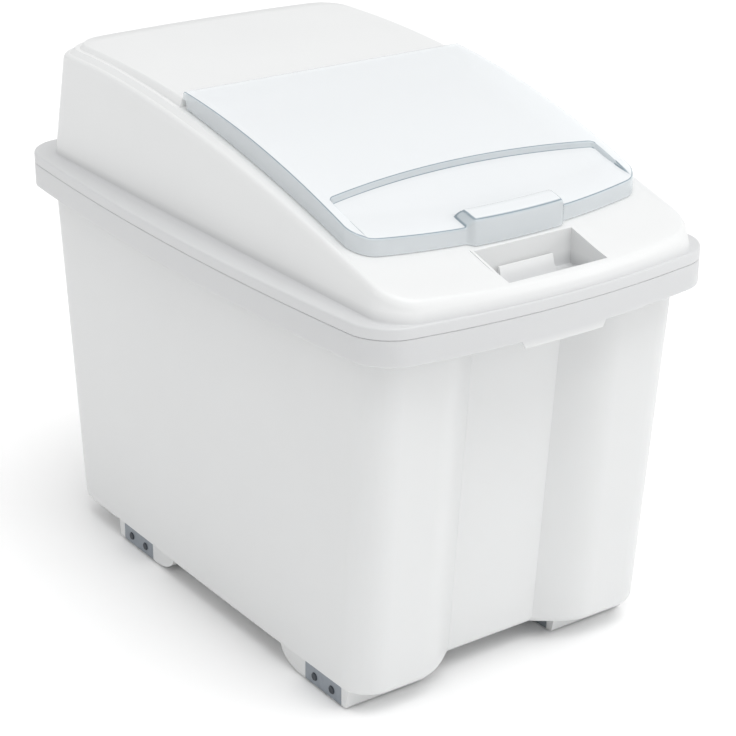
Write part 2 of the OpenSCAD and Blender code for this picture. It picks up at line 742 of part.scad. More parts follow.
module flip_lid() {
    pin_l = lid_a - lid_t / 2 - arm_x + 1;
    color("lightblue", 0.45)
        union() {
            flip_lid_shell();
            for (s = [-1, 1])
                translate([s * (lid_a - lid_t / 2 - pin_l / 2), hinge_y, hinge_z])
                    rotate([0, 90, 0]) cylinder(d = trunnion_d, h = pin_l, center = true);
        }
}

tub();
hood();
flip_lid();
for (c = [0 : 3]) {
    roller_bracket(c);
    bracket_screws(c);
    for (s = [0, 1]) {
        roller(c, s);
        axle_pin(c, s);
    }
}
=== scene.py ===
import math

import bmesh
import bpy
from mathutils import Matrix, Vector


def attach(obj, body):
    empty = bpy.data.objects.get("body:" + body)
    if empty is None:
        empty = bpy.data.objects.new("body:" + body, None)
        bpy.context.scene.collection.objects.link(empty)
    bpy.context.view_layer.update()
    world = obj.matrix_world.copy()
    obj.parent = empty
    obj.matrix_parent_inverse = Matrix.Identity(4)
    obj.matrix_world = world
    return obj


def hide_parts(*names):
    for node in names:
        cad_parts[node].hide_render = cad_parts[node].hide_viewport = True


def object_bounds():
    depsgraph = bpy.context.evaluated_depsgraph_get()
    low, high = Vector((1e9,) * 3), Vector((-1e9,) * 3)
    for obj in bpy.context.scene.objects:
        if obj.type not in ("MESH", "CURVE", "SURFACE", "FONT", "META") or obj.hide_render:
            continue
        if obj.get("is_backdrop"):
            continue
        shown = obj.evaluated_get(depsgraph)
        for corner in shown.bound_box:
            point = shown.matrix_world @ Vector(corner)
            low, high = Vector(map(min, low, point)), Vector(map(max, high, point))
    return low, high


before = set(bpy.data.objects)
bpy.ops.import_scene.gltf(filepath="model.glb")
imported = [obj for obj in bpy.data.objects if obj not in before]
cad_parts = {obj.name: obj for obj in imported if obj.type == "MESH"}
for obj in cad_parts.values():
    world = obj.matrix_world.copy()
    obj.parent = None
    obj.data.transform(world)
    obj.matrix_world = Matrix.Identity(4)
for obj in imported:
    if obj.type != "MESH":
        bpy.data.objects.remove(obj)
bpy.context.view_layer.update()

# ------ tub, wall and rim
# One injection moulding in white polyethylene: a tapered box with a channel down the front
# and a turned-down rim. Rings of points are joined from the underside, up the outside, over
# the rim and down the inside. Sizes here are in millimetres, and meshes are made in metres.

RIM_A, RIM_B, RIM_R = 200.0, 329.5, 34.0  # half width, half length, corner radius
SIDE_BOW, END_BOW, WALL_BOW = 16.0, 19.5, 2.0  # bulge of the rim's sides and ends, of a wall
RIM_BOWS = (SIDE_BOW, END_BOW, END_BOW)
RIM_Z, RIM_TOP, SKIRT = 390.0, 416.0, 3.0  # lower edge, top and thickness
RIM_EDGE, RIM_ROUND = 0.7, 1.6  # rounding of the lower edge and of the top
GRIP_A, GRIP_RAMP, GRIP_DROP, GRIP_FADE = 50.0, 4.0, 7.0, 12.0  # the front's deeper lip
WALL, BASE_Z, BASE_R = 3.2, 22.0, 9.0
MOUTH_EDGE, MOUTH_EDGE_PART = 1.2, 0.35  # rounding inside the tub's mouth
TUB_BASE, TUB_TOP, TUB_R = (182.5, 283.0), (187.0, 313.0), 34.0  # half sizes, corner radius
CHANNEL, FLANK, CHANNEL_DEEP = 54.0, 55.0, 28.0  # half width, run of each flank, depth
CHANNEL_FLOOR, CHANNEL_BESIDE, FLANK_STEPS = [0, 13, 27, 40], [125, 140], 12
CORNER_STEPS, EDGE_STEPS, BASE_STEPS, WALL_STEPS = 12, 5, 6, 8
SIDE_END = 0.97  # share of a straight side that its points reach
SIDE_STEPS = [-SIDE_END] + [k / 10 for k in range(-9, 10)] + [SIDE_END]


def quarter(steps):
    """Shares of the way across and up a quarter turn, from straight up to level."""
    turns = [math.radians(90 * k / steps) for k in range(steps + 1)]
    return [(1 - math.cos(t), math.sin(t)) for t in turns]


def outline(half_width, front, back, radius, bows, xs, ys, depths=None):
    """Points anticlockwise round one level of the bin, from the middle of its front."""
    side_bow, front_bow, back_bow = bows
    middle, half_length = (back - front) / 2, (back + front) / 2
    side, end = half_width - radius, back - radius
    turns = [math.radians(90 * k / CORNER_STEPS) for k in range(CORNER_STEPS + 1)]
    raw = [(x, -front, depth) for x, depth in zip(xs, depths or [0] * len(xs))]
    raw += [(side + radius * math.sin(t), radius - front - radius * math.cos(t), 0) for t in turns]
    raw += [(half_width, y, 0) for y in ys]
    raw += [(side + radius * math.cos(t), end + radius * math.sin(t), 0) for t in turns]
    raw += [(x, back, 0) for x in reversed(xs)]
    right = []
    for x, y, depth in raw:
        u, v = x / half_width, (y - middle) / half_length
        bow = front_bow if v < 0 else back_bow
        right.append((x + side_bow * u * (1 - v * v), y + bow * v * (1 - u * u) + depth))
    return right + [(-x, y) for x, y in reversed(right[1:-1])]


def level(points, z):
    return [(x, y, z) for x, y in points]


def set_down(mesh, name):
    """Makes a finished mesh a piece of the scene, where it was drawn."""
    mesh.normal_update()
    made = bpy.data.meshes.new(name)
    mesh.to_mesh(made)
    mesh.free()
    piece = bpy.data.objects.new(name, made)
    bpy.context.scene.collection.objects.link(piece)
    return piece


def rings_to_mesh(name, rings, ended):
    """Joins rings into a closed mesh. An ended one gets a floor at its first and last ring."""
    mesh = bmesh.new()
    rows = [[mesh.verts.new(Vector(p) / 1000) for p in ring] for ring in rings]
    n = len(rings[0])
    pairs = list(zip(rows, rows[1:])) + ([] if ended else [(rows[-1], rows[0])])
    for low, high in pairs:
        for i in range(n):
            h = (i + 1) % n
            mesh.faces.new((low[i], low[h], high[h], high[i]))
    if ended:
        half = n // 2
        for row, up in ((rows[0], False), (rows[-1], True)):
            for side in (1, -1):
                for k in range(half // 2):
                    a, b, c, d = k, k + 1, half - k - 1, half - k
                    face = [row[(side * i) % n] for i in ((a, b, d) if b == c else (a, b, c, d))]
                    if (side == 1) != up:
                        face.reverse()
                    mesh.faces.new(face)
    return set_down(mesh, name)


CHANNEL_DEPTHS = [CHANNEL_DEEP] * len(CHANNEL_FLOOR)
CHANNEL_DEPTHS += [CHANNEL_DEEP * (1 - up) for _, up in quarter(FLANK_STEPS)]
CHANNEL_DEPTHS += [0] * len(CHANNEL_BESIDE)


def channel_xs(grow):
    flank = [CHANNEL + grow + FLANK * k / FLANK_STEPS for k in range(FLANK_STEPS + 1)]
    return CHANNEL_FLOOR + flank + CHANNEL_BESIDE


def wall_ring(z, inset, bevel=0.0):
    up = (z - BASE_Z) / (RIM_TOP - BASE_Z)
    a, b = [base + (top - base) * up - inset - bevel for base, top in zip(TUB_BASE, TUB_TOP)]
    r = TUB_R - inset - bevel / 2
    ys = [share * (b - r) for share in SIDE_STEPS]
    return level(outline(a, b, b, r, (WALL_BOW, 0, 0), channel_xs(inset), ys, CHANNEL_DEPTHS), z)


RIM_XS = [0, 15, 30, 40, 46, 47.4, 48.6, 50, 62, 72, 82, 92, 102, 112, 122, 132, 142, 152, 160]


def rim_ring(inset, z, drop=0.0):
    a, b, r = RIM_A - inset, RIM_B - inset, RIM_R - inset
    ys = [share * (RIM_B - RIM_R) for share in SIDE_STEPS]
    ring = []
    for x, y in outline(a, b, b, r, RIM_BOWS, RIM_XS, ys):
        lower = drop * min(1, max(0, (GRIP_A - abs(x)) / GRIP_RAMP)) if y < 0 else 0
        ring.append((x, y, z - lower))
    return ring


def rounded_rings(ring, z, inset, radius, steps=EDGE_STEPS):
    """Rings round an edge: ring(inset, z) is the outline at each step."""
    return [ring(inset + radius * c, z - radius + radius * s) for c, s in quarter(steps)]


tub_rings = [wall_ring(BASE_Z + BASE_R * c, 0, BASE_R * (1 - s)) for c, s in quarter(BASE_STEPS)]
rise = RIM_TOP - SKIRT - BASE_Z - BASE_R
for k in range(1, WALL_STEPS + 1):
    tub_rings.append(wall_ring(BASE_Z + BASE_R + rise * k / WALL_STEPS, 0))
tub_rings.append(rim_ring(SKIRT, RIM_TOP - SKIRT))
for inset, z in ((SKIRT, RIM_Z + RIM_EDGE), (SKIRT - RIM_EDGE, RIM_Z), (RIM_EDGE, RIM_Z),
                 (0, RIM_Z + RIM_EDGE)):
    tub_rings.append(rim_ring(inset, z, GRIP_DROP))
tub_rings.append(rim_ring(0, RIM_Z + GRIP_FADE))
tub_rings += rounded_rings(rim_ring, RIM_TOP, 0, RIM_ROUND)
tub_rings += [wall_ring(RIM_TOP, WALL - MOUTH_EDGE),
              wall_ring(RIM_TOP - MOUTH_EDGE_PART, WALL - MOUTH_EDGE_PART),
              wall_ring(RIM_TOP - MOUTH_EDGE, WALL)]
INNER_FLOOR = BASE_Z + WALL
rise = RIM_TOP - MOUTH_EDGE - INNER_FLOOR - BASE_R
for k in range(WALL_STEPS - 1, -1, -1):
    tub_rings.append(wall_ring(INNER_FLOOR + BASE_R + rise * k / WALL_STEPS, WALL))
for c, s in reversed(quarter(BASE_STEPS)[:-1]):
    tub_rings.append(wall_ring(INNER_FLOOR + BASE_R * c, WALL, BASE_R * (1 - s)))
tub = rings_to_mesh("tub_moulding", tub_rings, True)

# ------ tub, feet
# Four feet moulded with the tub, each with a slot for its roller bracket, a long sloping
# blend towards the middle of the bin, and a thick pad over it inside.

FEET = [(-1, -214.0), (1, -214.0), (-1, 150.0), (1, 150.0)]  # side, and Y of the middle
FOOT_OUT, FOOT_IN, FOOT_LOW, FOOT_HALF = 177.0, 83.0, 2.0, 40.4
FOOT_EDGE, FOOT_BLEND, BLEND_SHARE, BLEND_STEPS = 3.0, 40.0, 0.9, 12
SLOT_HALF, SLOT_TOP, PAST = 31.4, 27.8, 1.0  # PAST: how far a cut runs out of the plastic
PAD_IN, PAD_OUT, PAD_TOP, PAD_EDGE, PAD_SINK = 72, 179, 36.8, 1.2, 0.8
PAD_SIDE_IN, PAD_SIDE_OUT = 170, 181  # where the pad meets the wall above the recess
RECESS_IN, RECESS_OUT = 177, 189  # a recess in the side lets the bracket's cheek show


def prism(name, points, low, high):
    """A closed block: a sketch of (y, z) points carried from low to high along X."""
    mesh = bmesh.new()
    area = sum(a[0] * b[1] - b[0] * a[1] for a, b in zip(points, points[1:] + points[:1]))
    points = points if area > 0 else points[::-1]
    first = [mesh.verts.new(Vector((low, y, z)) / 1000) for y, z in points]
    last = [mesh.verts.new(Vector((high, y, z)) / 1000) for y, z in points]
    n = len(points)
    mesh.faces.new(first[::-1])
    mesh.faces.new(last)
    for i in range(n):
        mesh.faces.new((first[i], first[(i + 1) % n], last[(i + 1) % n], last[i]))
    return set_down(mesh, name)


def combine(piece, tool, how):
    """Joins a moulded detail to a piece, or cuts it out, for good."""
    step = piece.modifiers.new("step", "BOOLEAN")
    step.operation, step.solver, step.object = how, "EXACT", tool
    done = piece.evaluated_get(bpy.context.evaluated_depsgraph_get())
    done = bpy.data.meshes.new_from_object(done)
    piece.modifiers.clear()
    piece.data = done
    bpy.data.objects.remove(tool)


def soften(piece, degrees=32):
    for face in piece.data.polygons:
        face.use_smooth = True
    piece.data.set_sharp_from_angle(angle=math.radians(degrees))


def on_side(side, one, two):
    """Two distances from the middle as the low and the high X on that side of the bin."""
    return sorted((side * one, side * two))


for side, foot_y in FEET:
    low_x, high_x = on_side(side, FOOT_OUT, FOOT_IN)
    inward = 1 if foot_y < 0 else -1
    top = BASE_Z + WALL / 2
    sketch = [(-FOOT_HALF, FOOT_LOW + FOOT_EDGE)]
    for turn in (22, 45, 67):
        t = math.radians(turn)
        sketch.append((-FOOT_HALF + FOOT_EDGE * (1 - math.cos(t)),
                       FOOT_LOW + FOOT_EDGE * (1 - math.sin(t))))
    sketch += [(-FOOT_HALF + FOOT_EDGE, FOOT_LOW)]
    for c, s in quarter(BLEND_STEPS):
        sketch.append((FOOT_HALF + FOOT_BLEND * s * BLEND_SHARE, FOOT_LOW + (top - FOOT_LOW) * c))
    sketch += [(FOOT_HALF + FOOT_BLEND, top), (-FOOT_HALF - FOOT_EDGE, top)]
    sketch = [(foot_y + inward * y, z) for y, z in sketch]
    combine(tub, prism("foot", sketch, low_x, high_x), "UNION")
    reach, low, high = FOOT_HALF + WALL, INNER_FLOOR - PAD_SINK, PAD_TOP - PAD_EDGE
    pad = [(foot_y - reach, low), (foot_y + reach, low), (foot_y + reach, high),
           (foot_y + reach - PAD_EDGE, PAD_TOP), (foot_y - reach + PAD_EDGE, PAD_TOP),
           (foot_y - reach, high)]
    combine(tub, prism("pad", pad, *on_side(side, PAD_IN, PAD_OUT)), "UNION")
    pad = [(y, max(z, SLOT_TOP + 1)) for y, z in pad]
    combine(tub, prism("pad_side", pad, *on_side(side, PAD_SIDE_IN, PAD_SIDE_OUT)), "UNION")
    slot = [(foot_y - SLOT_HALF, -PAST), (foot_y + SLOT_HALF, -PAST),
            (foot_y + SLOT_HALF, SLOT_TOP), (foot_y - SLOT_HALF, SLOT_TOP)]
    combine(tub, prism("slot", slot, low_x - PAST, high_x + PAST), "DIFFERENCE")
    recess = [(-FOOT_HALF - 2, -PAST), (-FOOT_HALF - 2, BASE_Z), (-FOOT_HALF + 4, SLOT_TOP),
              (FOOT_HALF + 3, SLOT_TOP), (FOOT_HALF + 16, BASE_Z - 3), (FOOT_HALF + 16, -PAST)]
    recess = [(foot_y + inward * y, z) for y, z in recess]
    combine(tub, prism("recess", recess, *on_side(side, RECESS_IN, RECESS_OUT)), "DIFFERENCE")
soften(tub)
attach(tub, "tub_body")
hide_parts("tub")


def srgb(code):
    """An sRGB hex colour as the linear one that a shader takes."""
    parts = [int(code[i:i + 2], 16) / 255 for i in (1, 3, 5)]
    return (*[c / 12.92 if c <= 0.04045 else ((c + 0.055) / 1.055) ** 2.4 for c in parts], 1)


def add(tree, kind, links=None, **settings):
    """Adds a node to a material, with its settings and its links from other nodes' sockets."""
    node = tree.nodes.new(kind)
    for key, value in settings.items():
        if hasattr(node, key):
            setattr(node, key, value)
        else:
            node.inputs[key.replace("_", " ")].default_value = value
    for key, source in (links or {}).items():
        tree.links.new(source, node.inputs[key])
    return node


def begin(name):
    """Starts a material. Gives it with its node tree, its shader and its coordinates."""
    made = bpy.data.materials.new(name)
    made.use_nodes = True
    tree = made.node_tree
    return made, tree, tree.nodes["Principled BSDF"], add(tree, "ShaderNodeTexCoord")


def dress(piece, finish):
    piece.data.materials.clear()
    piece.data.materials.append(finish)


# High-density polyethylene, injection moulded: a waxy white with a soft sheen, slightly
# uneven where the flow cooled, over about 110 mm, and wavy over about 70 mm. Its grain of
# about 1 mm is coarser than the real one. Light sinks in. The rim is painted a darker grey,
# as shade.
polyethylene, tree, shader, place = begin("moulded_white_polyethylene")
flow = add(tree, "ShaderNodeTexNoise", {"Vector": place.outputs["Object"]}, Scale=9.0, Detail=3.0)
tint = add(tree, "ShaderNodeMix", {"Factor": flow.outputs["Fac"]}, data_type="RGBA")
tint.inputs["A"].default_value, tint.inputs["B"].default_value = srgb("#DADBDB"), srgb("#DEDFDF")
grain = add(tree, "ShaderNodeTexNoise", {"Vector": place.outputs["Object"]},
            Scale=900.0, Detail=2.0)
waves = add(tree, "ShaderNodeTexNoise", {"Vector": place.outputs["Object"]}, Scale=14.0, Detail=1.0)
height = add(tree, "ShaderNodeMix", {"A": grain.outputs["Fac"], "B": waves.outputs["Fac"]},
             Factor=0.6)
bump = add(tree, "ShaderNodeBump", {"Height": height.outputs["Result"]}, Strength=0.12,
           Distance=0.0006)
rough = add(tree, "ShaderNodeMapRange", {"Value": flow.outputs["Fac"]}, To_Min=0.34, To_Max=0.44)
height_up = add(tree, "ShaderNodeSeparateXYZ", {"Vector": place.outputs["Object"]})
# Painted shade: from 380 to 391 mm up, the colour fades to a darker grey over the rim
rim_shade_mask = add(tree, "ShaderNodeMapRange", {"Value": height_up.outputs["Z"]},
             From_Min=0.380, From_Max=0.391)
rim_painted_shade = add(tree, "ShaderNodeMix", {"Factor": rim_shade_mask.outputs["Result"],
                                      "A": tint.outputs["Result"]}, data_type="RGBA")
rim_painted_shade.inputs["B"].default_value = srgb("#CCCDCE")
tree.links.new(rim_painted_shade.outputs["Result"], shader.inputs["Base Color"])
tree.links.new(bump.outputs["Normal"], shader.inputs["Normal"])
tree.links.new(rough.outputs["Result"], shader.inputs["Roughness"])
shader.inputs["IOR"].default_value = 1.51
shader.inputs["Subsurface Weight"].default_value = 0.25
shader.inputs["Subsurface Scale"].default_value = 0.006
shader.inputs["Subsurface Radius"].default_value = (1.0, 0.95, 0.9)
dress(tub, polyethylene)

# ------ hood
# One moulding in translucent white polypropylene. Its band continues the rim, its slope
# falls ever faster towards the front, and a raised panel stands behind the lid. A coaming
# rings the filling opening, and a lip inside the tub's mouth holds the hood in place.

SEAT = RIM_TOP + 0.3
BAND_TOP, BAND_ROUND = SEAT + 11, 2.2
CREST_Z, FRONT_Z, CREST_Y, FALL_POWER = 543.5, 441.5, 215.0, 1.75  # the slope's fall
SLOPE_FRONT = 349  # distance from the middle to the slope's front end
PANEL_Y, PANEL_RISE, PANEL_FALL = 41.0, 10, 9
LID_REAR, LID_GAP, LID_A, LID_T, LID_FRONT, LID_BOW = 38.0, 1.0, 169.0, 2.5, 257.0, 18.0
HOOD_T, HOOD_R, HOOD_A, HOOD_BACK, BACK_BOW = 2.6, 30.0, 186.0, 24.5, 8.0
LEAN = (4, 2.5, 20)  # how far the wall leans in by its head: sides, front and back
SHOULDER, SHOULDER_H, SHOULDER_STEPS = (4.5, 5.5, 8), 9, 8  # its run on each, its height
STRIP_HIGH, STRIP_LOW, STRIP_LEVEL, STRIP_FALL = 6, -1, 10, 0.0245  # the strip by the lid
STRIP_BACK, PANEL_FRONT_IN, PANEL_BACK_IN = 34, 6, 36  # how far strip and panel stand in
WALL_FOOT, WALL_FRONT_IN, WALL_ROWS, HEAD_ROOM = 2.8, 1.8, 6, 0.6  # the wall's lower end
PANEL_A = LID_A - LID_T - LID_GAP
PANEL_EDGE, PANEL_DRAW = 0.9, 2  # rounding of the raised panel, and how far its edge draws in
LEVEL_WITH = 1e-6  # slack in asking which side of a line a point is
HOOD_XS = [0, 9, 18, 27, 36, 45, 54, 63, 72, 81, 90, 98, 105, 111, 116, 120, 124, 128, 131]
HOOD_YS = [-215, -195, -175, -155, -135, -115, -95, -75, -55, -35, -15, 5, 22, 37, 40.9, 42.2,
           60, 80, 100, 120, 140, 160, 180, 200, 220]
BEHIND = HOOD_YS.index(42.2)  # the first of these points behind the lid


def slope_z(y):
    fallen = (max(0, CREST_Y - y) / (CREST_Y + SLOPE_FRONT)) ** FALL_POWER
    return CREST_Z - (CREST_Z - FRONT_Z) * fallen


def panel_z(y):
    fallen = (max(0, CREST_Y - y) / (CREST_Y - PANEL_Y)) ** 2
    return CREST_Z + PANEL_RISE - PANEL_FALL * fallen


def strip_rise(y):
    """How far the lid's lower edge stands over the slope: less and less towards the front."""
    rise = STRIP_HIGH + (y - LID_REAR + STRIP_LEVEL) * STRIP_FALL
    return max(STRIP_LOW, min(STRIP_HIGH, rise))


def strip_z(y):
    return slope_z(y) + strip_rise(y) - LID_GAP


def spread(reach, middle=0.0):
    """As many points along a side as HOOD_YS has, evenly spaced."""
    last = len(HOOD_YS) - 1
    return [middle + reach * (-SIDE_END + 2 * SIDE_END * k / last) for k in range(last + 1)]


def dome(inset, front_in, back_in):
    return outline(HOOD_A - inset, RIM_B - front_in, RIM_B - HOOD_BACK - back_in, HOOD_R,
                   (WALL_BOW, END_BOW, BACK_BOW), HOOD_XS, HOOD_YS)


def shoulder(share, grow=0.0):
    """The outline part of the way over the shoulder, from the wall's head to the brow."""
    return dome(*[lean + run * share + grow for lean, run in zip(LEAN, SHOULDER)])


def band(inset, z):
    a, b, r = RIM_A - inset, RIM_B - inset, RIM_R - inset
    return level(outline(a, b, b, r, RIM_BOWS, HOOD_XS, spread(RIM_B - RIM_R)), z)


def on_slope(points, rise):
    return [(x, y, slope_z(y) + rise) for x, y in points]


def between(one, two, share):
    """Points part of the way from one ring to another."""
    return [tuple(a * (1 - share) + b * share for a, b in zip(p, q)) for p, q in zip(one, two)]


def panel_outline(grow):
    return dome(HOOD_A - PANEL_A + grow, RIM_B - LID_FRONT + PANEL_FRONT_IN + grow,
                PANEL_BACK_IN + grow)


def on_panel(points, grow, rise):
    """Points at the raised panel's height behind the lid, and at the strip's beside it."""
    edge = PANEL_Y + grow - LEVEL_WITH
    return [(x, y, (panel_z(y) if y > edge else strip_z(y)) + rise) for x, y in points]


def drawn_in(points, grow):
    """The raised panel's edge drawn in to the line just behind the lid."""
    n = len(points)
    first = len(HOOD_XS) + CORNER_STEPS + 1 + BEHIND
    steps = len(HOOD_YS) - BEHIND + CORNER_STEPS + 1
    wide = PANEL_A - PANEL_DRAW - grow
    out = []
    for k, (x, y) in enumerate(points):
        m = (k if k <= n // 2 else n - k) - first
        if y > PANEL_Y + grow - LEVEL_WITH:
            place = wide - (wide - HOOD_XS[-1]) * m / steps if m < steps else abs(x)
            out.append((math.copysign(place, x) if x else 0, PANEL_Y + grow))
        else:
            out.append((x * (1 - PANEL_DRAW / PANEL_A), y))
    return out


MOUTH_A, MOUTH_R = PANEL_A - 16, 24  # the filling opening: half width, corner radius
MOUTH_REAR, MOUTH_FRONT = LID_REAR - 26, LID_FRONT - 22
MOUTH_BOWS = (0.5, LID_BOW * 0.7, 0.5)
COAMING = 6  # height of the coaming that rings it


def mouth(grow, rise):
    xs = [x / HOOD_XS[-1] * (MOUTH_A - MOUTH_R - 4) for x in HOOD_XS]
    ys = spread((MOUTH_REAR + MOUTH_FRONT) / 2 - MOUTH_R, (MOUTH_REAR - MOUTH_FRONT) / 2)
    return on_slope(outline(MOUTH_A + grow, MOUTH_FRONT + grow, MOUTH_REAR + grow, MOUTH_R,
                            MOUTH_BOWS, xs, ys), rise)


# Band, then the small step to the wall, the wall, and the shoulder over to the brow
hood_rings = [band(0, SEAT)]
hood_rings += rounded_rings(band, BAND_TOP, 0, BAND_ROUND, 4)
for inset, front_in, up in ((-2.6, 1.5, 0), (-1.2, 1.6, 0.5), (-0.3, 1.7, 1.4)):  # a fillet
    hood_rings.append(level(dome(inset, front_in, inset), BAND_TOP + up))
wall_foot = level(dome(0, WALL_FRONT_IN, 0), BAND_TOP + WALL_FOOT)
wall_head = on_slope(shoulder(0), -SHOULDER_H)
wall_foot = [(x, y, min(z, h[2] - HEAD_ROOM)) for (x, y, z), h in zip(wall_foot, wall_head)]
hood_rings.append(wall_foot)
hood_rings += [between(wall_foot, wall_head, k / WALL_ROWS) for k in range(1, WALL_ROWS)]
for c, s in quarter(SHOULDER_STEPS):
    hood_rings.append(on_slope(shoulder(c), -SHOULDER_H + SHOULDER_H * s))

# Strip beside the lid, then the raised panel's edge, its top, and the drop behind the lid
strip = dome(HOOD_A - LID_A, RIM_B - LID_FRONT, STRIP_BACK)
for share in (0.25, 0.5, 0.75, 1):
    ring = []
    for x, y in between(shoulder(1), strip, share):
        ring.append((x, y, slope_z(y) + (strip_z(y) - slope_z(y)) * min(1, share * 2)))
    hood_rings.append(ring)
for grow, rise in ((-0.6, -1.5), (0, -0.5), (PANEL_EDGE, 0)):
    hood_rings.append([(x, y, (panel_z(y) + rise) if y > PANEL_Y else strip_z(y))
                       for x, y in panel_outline(grow)])
panel = panel_outline(PANEL_EDGE)
line = drawn_in(panel, 0)
for share in (0.08, 0.2, 0.35, 0.5, 0.65, 0.8, 0.92, 1):
    hood_rings.append(on_panel(between(panel, line, share), 0, 0))
hood_rings.append([(x, PANEL_Y - 0.6 if y > PANEL_Y - 1 else y, slope_z(y) + 1) for x, y in line])

# Over the coaming, down into the filling opening, and back along the inside of the sheet
for grow, rise in ((HOOD_T + 1.5, 1), (HOOD_T + 0.4, 1.5), (HOOD_T, 2.6), (HOOD_T, 5.2),
                   (HOOD_T - 0.8, COAMING), (0.8, COAMING), (0, 5.2), (0, 1 - HOOD_T)):
    hood_rings.append(mouth(grow, rise))
panel = panel_outline(HOOD_T)
line = drawn_in(panel, HOOD_T)
hood_rings.append([(x, y, slope_z(min(y, PANEL_Y)) + 1 - HOOD_T) for x, y in line])
for share in (1, 0.7, 0.4, 0.1, 0):
    hood_rings.append(on_panel(between(panel, line, share), HOOD_T, -HOOD_T))
inner_brow = shoulder(1, HOOD_T / 2)
hood_rings.append([(x, y, strip_z(y) - HOOD_T) for x, y in between(inner_brow, panel, 0.5)])
for c, s in reversed(quarter(4)):
    inward = HOOD_T * (1 - 0.5 * c)
    hood_rings.append(on_slope(shoulder(c, inward), -SHOULDER_H - HOOD_T + SHOULDER_H * s))
hood_rings.append(level(dome(HOOD_T, WALL_FRONT_IN + HOOD_T, HOOD_T), SEAT + HOOD_T))

LIP_GAP, LIP_DEEP, LIP_EDGE = 1.5, 10, 0.6  # the lip that stands in the tub's mouth


def lip(gap, z):
    a, b = TUB_TOP[0] - WALL - gap, TUB_TOP[1] - WALL - gap
    r = TUB_R - WALL - gap / 2
    return level(outline(a, b, b, r, (WALL_BOW, 0, 0), channel_xs(WALL + gap),
                         spread(TUB_TOP[1] - TUB_R), CHANNEL_DEPTHS), z)


lip_in = LIP_GAP + HOOD_T
for gap, z in ((lip_in, SEAT + HOOD_T), (lip_in, SEAT - LIP_DEEP + LIP_EDGE),
               (lip_in - LIP_EDGE, SEAT - LIP_DEEP), (LIP_GAP + LIP_EDGE, SEAT - LIP_DEEP),
               (LIP_GAP, SEAT - LIP_DEEP + LIP_EDGE), (LIP_GAP, SEAT)):
    hood_rings.append(lip(gap, z))
hood = rings_to_mesh("hood_moulding", hood_rings, False)

# ------ hood, finger pocket
# A pocket moulded into the hood's front, under the lid's grip, with a tongue in front of its
# back wall. Its shell is joined to the hood, its hollow is cut out, and the tongue is added.

POCKET_BACK, POCKET_FRONT, POCKET_LOW, POCKET_A = -284.0, -336.0, SEAT + HOOD_T + 5, 58.0
TONGUE_A, TONGUE_H, ABOVE = 32, 17, 560  # ABOVE: a height over the whole bin, for the cut
shell = [(y, slope_z(y) - 1.2) for y in (POCKET_FRONT - HOOD_T, POCKET_FRONT + 16,
                                         POCKET_BACK - 12, POCKET_BACK + HOOD_T)]
shell += [(POCKET_BACK + HOOD_T, POCKET_LOW + 2), (POCKET_BACK - 3, POCKET_LOW - HOOD_T),
          (POCKET_FRONT + 14, POCKET_LOW + 4.4), (POCKET_FRONT - HOOD_T, POCKET_LOW + 11.4)]
combine(hood, prism("pocket_shell", shell, -POCKET_A - HOOD_T, POCKET_A + HOOD_T), "UNION")
hollow = [(POCKET_BACK, ABOVE), (POCKET_BACK, POCKET_LOW + 4),
          (POCKET_BACK - 1.2, POCKET_LOW + 1.2), (POCKET_BACK - 4, POCKET_LOW),
          (POCKET_FRONT + 14, POCKET_LOW + 7), (POCKET_FRONT + 2, POCKET_LOW + 12.6),
          (POCKET_FRONT, POCKET_LOW + 16), (POCKET_FRONT, ABOVE)]
combine(hood, prism("pocket_hollow", hollow, -POCKET_A, POCKET_A), "DIFFERENCE")
tongue = [(3, -1), (3, TONGUE_H - 0.6), (3.6, TONGUE_H), (5, TONGUE_H), (5.6, TONGUE_H - 0.6),
          (8, 8), (14, 1)]
tongue = [(POCKET_BACK - ahead, POCKET_LOW + up) for ahead, up in tongue]
combine(hood, prism("pocket_tongue", tongue, -TONGUE_A, TONGUE_A), "UNION")

# ------ hood, hinge arms
# Two arms moulded on the hood carry the lid's trunnions, one inside each side of the lid.
# Their bores aren't drawn. The lid's arch is set here, because the hinge hangs under it.

ARCH_RISE, ARCH_FALL, ARCH_Y, ARCH_REACH = 24.5, 9.1, -60, 202
ARM_T, ARM_IN, ARM_R, HINGE_DROP = 4, 8.4, 4, 7
STEM_AHEAD, STEM_T = 11, 9  # the arm's upright: its place ahead of the axis, its thickness
HEAD_FROM, HEAD_TURN, HEAD_STEPS = -130, 220, 12  # its round head, in degrees


def arch_z(y):
    return slope_z(y) + ARCH_RISE - ARCH_FALL * ((y - ARCH_Y) / ARCH_REACH) ** 2


HINGE_Y = LID_REAR - 8
HINGE_Z = arch_z(HINGE_Y) - HINGE_DROP
STEM = HINGE_Y - STEM_AHEAD
ARM_X = LID_A - LID_T - ARM_IN
for side in (-1, 1):
    foot = slope_z(STEM) - 1
    arm = [(STEM - STEM_T, foot), (STEM, foot), (STEM, HINGE_Z - 4),
           (HINGE_Y - 6, HINGE_Z - 3), (HINGE_Y - 2.6, HINGE_Z - 3)]
    for k in range(HEAD_STEPS + 1):
        t = math.radians(HEAD_FROM + HEAD_TURN * k / HEAD_STEPS)
        arm.append((HINGE_Y + ARM_R * math.cos(t), HINGE_Z + ARM_R * math.sin(t)))
    arm += [(STEM - 5, HINGE_Z + 1.5), (STEM - STEM_T, HINGE_Z - 4)]
    combine(hood, prism("arm", arm, *on_side(side, ARM_X, ARM_X + ARM_T)), "UNION")
soften(hood)
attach(hood, "hood_body")
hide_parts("hood")
